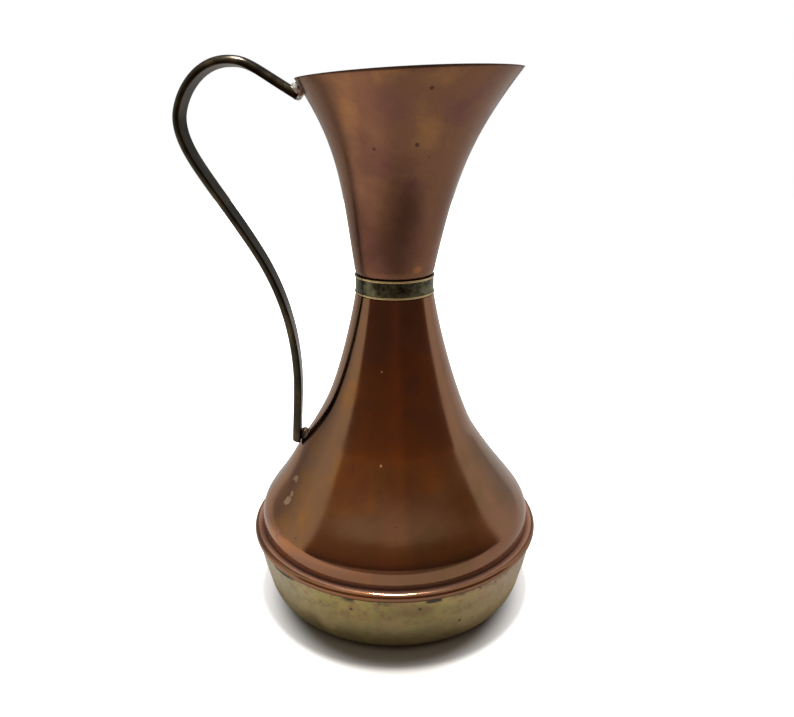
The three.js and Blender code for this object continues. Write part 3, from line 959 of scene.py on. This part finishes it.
# %% [markdown]
# A few dark pits stand at known places among many smaller ones. The cut edge of the lip is dark. It
# is found by height, measured from the slope of the mouth.

# %% Trumpet wear
FLARE_PIT = (0.06, 0.03, 0.022)
LIP_DARK = (0.05, 0.028, 0.022)
FLARE_PITS = [
    ((-9.2, -33.1, 246.1), (1.0, 1.0, 1.0), 0.0),
    ((10.1, -35.8, 248.0), (1.3, 1.3, 1.3), 0.0),
    ((15.8, -48.1, 271.7), (1.1, 1.1, 1.1), 0.0),
]

pits = stretch(tree, clouds(tree, where, 2.2, seed=12.0, detail=1), 0.75, 0.81)
pits = calculate(tree, "MAXIMUM", pits, marks(tree, where, FLARE_PITS, ragged=0.4))
tone = glaze(tree, tone, pits, FLARE_PIT, 0.8)
along = axes(tree, where)
level = calculate(tree, "SUBTRACT", along["Z"], scaled(tree, along["X"], LIP_RISE))
lip_edge = fade(tree, level, LIP_HEIGHT - 1.9, LIP_HEIGHT - 1.0)
tone = glaze(tree, tone, lip_edge, LIP_DARK, 0.85)
satin = polish(tree, clouds(tree, where, 18, seed=8.0, detail=5), 0.24, 0.34)
cover(tree, shader, tone, calculate(tree, "ADD", satin, scaled(tree, lip_edge, 0.25)))
uneven(tree, shader, where, [(26, 0.10, 3.0), (2.5, 0.008, 4.0)])
print("trumpet copper is ready")

# %% [markdown]
# ## Brass of the bowl
#
# Brass tarnishes to a yellow-green, browner where it is touched. The bowl is greyer towards the
# handle and pinker towards the pouring side. Low down it has a paler band, a painted reflection of
# the lit table, and painted shade where it turns under to the foot.

# %% Bowl brass tones
BRASS_YELLOW = (0.500, 0.360, 0.140)
BRASS_GREEN = (0.430, 0.370, 0.135)
BRASS_GREY = (0.560, 0.520, 0.400)
BRASS_PINK = (0.520, 0.350, 0.235)
BRASS_BROWN = (0.290, 0.185, 0.100)
BRASS_PAINTED_TABLE_LIGHT = (0.98, 0.80, 0.42)
BRASS_PAINTED_FOOT_SHADE = (0.13, 0.105, 0.060)
BOWL_CLOUDS = [
    (0.30, BRASS_BROWN),
    (0.42, BRASS_YELLOW),
    (0.52, BRASS_GREEN),
    (0.60, BRASS_YELLOW),
    (0.74, BRASS_PINK),
]

bowl_brass, tree, shader, where = start_finish("bowl_brass")
along = axes(tree, where)
tone = ramp(tree, clouds(tree, where, 22, seed=9.0, detail=5, roughness=0.6), BOWL_CLOUDS)
leftwards = fade(tree, along["X"], -30, -72, 0.0, 0.75)
tone = mix_colour(tree, leftwards, tone, BRASS_GREY)
rightwards = fade(tree, along["X"], 12, 60, 0.0, 0.65)
tone = mix_colour(tree, rightwards, tone, BRASS_PINK)
brown_cloud = mark(tree, where, (9, -76, 30), (17, 10, 7), seed=5.0, soft=0.8)
tone = glaze(tree, tone, brown_cloud, BRASS_BROWN, 0.7)
small = clouds(tree, where, 5, seed=13.0, detail=6, roughness=0.7)
tone = mix_colour(tree, stretch(tree, small, 0.42, 0.68, 0.0, 0.7), tone, BRASS_BROWN)
# painted reflection: a paler band low on the bowl stands for the lit table
tone = mix_colour(tree, fade(tree, along["Z"], 14, 28, 0.45, 0.0), tone, BRASS_PAINTED_TABLE_LIGHT)
# painted shade: darker where the bowl turns under to the foot
tone = mix_colour(tree, fade(tree, along["Z"], 1.2, 6.2, 0.75, 0.0), tone, BRASS_PAINTED_FOOT_SHADE)
print("bowl has", len(BOWL_CLOUDS), "cloud tones")

# %% [markdown]
# Dark specks are scattered all over. A patchy line of grime sits under the hem, where a cloth never
# reaches, and is thick at two places. Grime and tarnish are duller than clean brass.

# %% Bowl wear
GRIME = (0.050, 0.048, 0.042)
BOWL_SPECKS = [
    ((32.9, -67.4, 16.8), (1.3, 1.3, 1.3), 0.0),
    ((12.3, -77.0, 31.0), (1.1, 1.1, 1.1), 0.0),
    ((-21.8, -74.6, 29.3), (1.1, 1.1, 1.1), 0.0),
]
GRIME_PLACES = [
    ((-58.8, -51.2, 34.6), (11, 14, 1.4), 1.0),
    ((19.0, -76.0, 34.9), (5.5, 3, 1.3), 2.0),
]

specks = stretch(tree, clouds(tree, where, 2.6, seed=14.0, detail=1.5), 0.70, 0.76)
specks = calculate(tree, "MAXIMUM", specks, marks(tree, where, BOWL_SPECKS, ragged=0.4))
under_hem = fade(tree, along["Z"], 32.5, 36.0)
patchy = stretch(tree, clouds(tree, where, 12, seed=15.0, detail=3), 0.50, 0.62)
grime = calculate(tree, "MULTIPLY", under_hem, patchy)
grime = calculate(tree, "MAXIMUM", grime, marks(tree, where, GRIME_PLACES, ragged=0.5))
dirt = calculate(tree, "MAXIMUM", scaled(tree, specks, 0.8), scaled(tree, grime, 0.9))
tone = mix_colour(tree, dirt, tone, GRIME)
hazy = calculate(tree, "MAXIMUM", dirt, calculate(tree, "MAXIMUM", leftwards, rightwards))
satin = polish(tree, clouds(tree, where, 14, seed=16.0, detail=5), 0.30, 0.46)
satin = calculate(tree, "ADD", satin, scaled(tree, dirt, 0.3))
cover(tree, shader, tone, satin, metal=stretch(tree, hazy, 0.0, 1.0, 1.0, 0.3))
uneven(tree, shader, where, [(18, 0.12, 5.0), (2.0, 0.012, 6.0)])
print("bowl brass is ready")

# %% [markdown]
# ## Brass of the collar and the handle
#
# Both were dipped to look old. On the collar, years of polishing then rubbed the dark off the two
# beads, which stand out furthest. Its face between them stays dark and blotchy.

# %% Collar brass
COLLAR_TONES = [(0.38, (0.030, 0.028, 0.018)), (0.62, (0.170, 0.160, 0.095))]
COLLAR_RUBBED = (0.62, 0.47, 0.24)

collar_brass, tree, shader, where = start_finish("collar_brass")
blotches = clouds(tree, where, 5, seed=17.0, detail=5, roughness=0.65)
rubbed = fade(tree, from_middle(tree, where), COLLAR_FACE + 0.10, COLLAR_FACE + 0.35)
tone = mix_colour(tree, rubbed, ramp(tree, blotches, COLLAR_TONES), COLLAR_RUBBED)
cover(tree, shader, tone, polish(tree, blotches, 0.22, 0.36))
uneven(tree, shader, where, [(4, 0.03, 7.0)])
print("collar brass is ready")

# %% [markdown]
# The bar is nearly black, with brown showing through where hands have worn it. It is still smooth,
# so it keeps one thin bright line along its round side.

# %% Handle brass
HANDLE_TONES = [
    (0.35, (0.020, 0.016, 0.011)),
    (0.52, (0.040, 0.031, 0.019)),
    (0.70, (0.100, 0.072, 0.036)),
]
HANDLE_SPECK = (0.05, 0.04, 0.03)

handle_brass, tree, shader, where = start_finish("handle_brass")
broad = clouds(tree, where, 12, seed=18.0, detail=5, roughness=0.6)
small = stretch(tree, clouds(tree, where, 2.0, seed=19.0, detail=3), 0.55, 0.75, 0.0, 0.6)
tone = mix_colour(tree, small, ramp(tree, broad, HANDLE_TONES), HANDLE_SPECK)
cover(tree, shader, tone, polish(tree, broad, 0.20, 0.34))
uneven(tree, shader, where, [(14, 0.04, 8.0), (1.5, 0.002, 9.0)])
print("handle brass is ready")

# %% [markdown]
# ## Soft solder
#
# Solder is tin and lead, pale silver where it was wiped and nearly black where it wasn't. The lump
# under the rim was wiped. The one at the foot and the two runs inside the jug were left alone.

# %% Solder finish
WIPED_TONES = [(0.36, (0.30, 0.27, 0.25)), (0.52, (0.85, 0.84, 0.83))]
UNWIPED_TONES = [(0.38, (0.06, 0.045, 0.038)), (0.66, (0.20, 0.16, 0.13))]


def solder_finish(name, size, seed, tones, dull, shiny):
    made, tree, shader, where = start_finish(name)
    broad = clouds(tree, where, size, seed=seed, detail=4)
    cover(tree, shader, ramp(tree, broad, tones), polish(tree, broad, dull, shiny))
    uneven(tree, shader, where, [(1.6, 0.05, seed - 10.0)])
    return made


soft_solder = solder_finish("soft_solder", 3.5, 20.0, WIPED_TONES, 0.5, 0.3)
tarnished_solder = solder_finish("tarnished_solder", 3.0, 21.0, UNWIPED_TONES, 0.55, 0.38)
print("solder is ready")

# %% [markdown]
# ## Putting the jug together
#
# Each new piece takes the place of its plain model piece and rides on the same body.

# %% Assembly
def place(piece, node_name, slot_name, finish):
    piece.data.materials.clear()
    piece.data.materials.append(finish)
    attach(piece, BODY)
    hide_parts(node_name)


place(trumpet, "trumpet_neck", "copper_trumpet", trumpet_copper)
place(bell, "bell_body", "copper_bell", bell_copper)
place(bowl, "base_bowl", "brass_bowl", bowl_brass)
place(collar, "waist_collar", "brass_collar", collar_brass)
place(handle, "handle", "brass_handle", handle_brass)
place(top_lump, "handle_top_solder", "solder", soft_solder)
place(foot_lump, "handle_foot_solder", "solder", tarnished_solder)
for name in ("waist_solder", "seam_solder"):
    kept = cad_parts[name]
    kept.data.materials.clear()
    kept.data.materials.append(tarnished_solder)
print("pieces placed")
